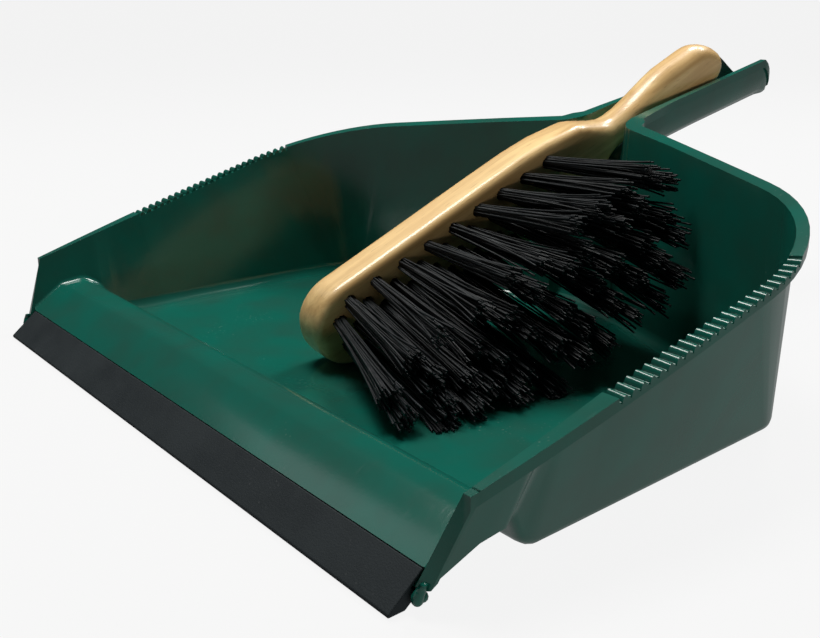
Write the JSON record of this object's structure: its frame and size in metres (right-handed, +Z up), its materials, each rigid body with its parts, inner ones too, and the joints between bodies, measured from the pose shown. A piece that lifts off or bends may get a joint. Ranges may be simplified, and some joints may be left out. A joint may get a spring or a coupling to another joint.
{
  "type": "dustpan and brush",
  "caption": "Wide plastic dustpan with a rubber lip, comb-ridged rim and open trough handle, with a wooden hand brush of long dark bristles lying in it",
  "frame": {"origin": "centre of the bounding box in plan, on the floor the pan stands on", "axes": "+Y from the rubber lip to the handle, +X to the pan's right seen from the lip, +Z up"},
  "size_m": [0.3628, 0.422, 0.1465],
  "materials": {
    "green_plastic": "gloss, fine scuffs",
    "black_rubber": "matt",
    "varnished_beech": "clear varnish",
    "black_bristle": "satin"
  },
  "bodies": {
    "dustpan": {"dustpan_body": "green_plastic", "rubber_lip": "black_rubber"},
    "brush": {"brush_stock": "varnished_beech", "tuft_01": "black_bristle", "tuft_02": "black_bristle", "tuft_03": "black_bristle", "tuft_04": "black_bristle", "tuft_05": "black_bristle", "tuft_06": "black_bristle", "tuft_07": "black_bristle", "tuft_08": "black_bristle", "tuft_09": "black_bristle", "tuft_10": "black_bristle", "tuft_11": "black_bristle", "tuft_12": "black_bristle", "tuft_13": "black_bristle", "tuft_14": "black_bristle", "tuft_15": "black_bristle", "tuft_16": "black_bristle", "tuft_17": "black_bristle", "tuft_18": "black_bristle", "tuft_19": "black_bristle", "tuft_20": "black_bristle", "tuft_21": "black_bristle", "tuft_22": "black_bristle", "tuft_23": "black_bristle", "tuft_24": "black_bristle", "tuft_25": "black_bristle", "tuft_26": "black_bristle", "tuft_27": "black_bristle", "tuft_28": "black_bristle", "tuft_29": "black_bristle", "tuft_30": "black_bristle", "tuft_31": "black_bristle", "tuft_32": "black_bristle", "tuft_33": "black_bristle", "tuft_34": "black_bristle", "tuft_35": "black_bristle", "tuft_36": "black_bristle", "tuft_37": "black_bristle", "tuft_38": "black_bristle", "tuft_39": "black_bristle", "tuft_40": "black_bristle", "tuft_41": "black_bristle", "tuft_42": "black_bristle", "tuft_43": "black_bristle", "tuft_44": "black_bristle", "tuft_45": "black_bristle", "tuft_46": "black_bristle", "tuft_47": "black_bristle"}
  },
  "joints": [
    {"name": "brush_lift", "type": "slide", "parent": "dustpan", "child": "brush", "axis": [0, 0, 1], "range_m": [0, 0.2]}
  ]
}
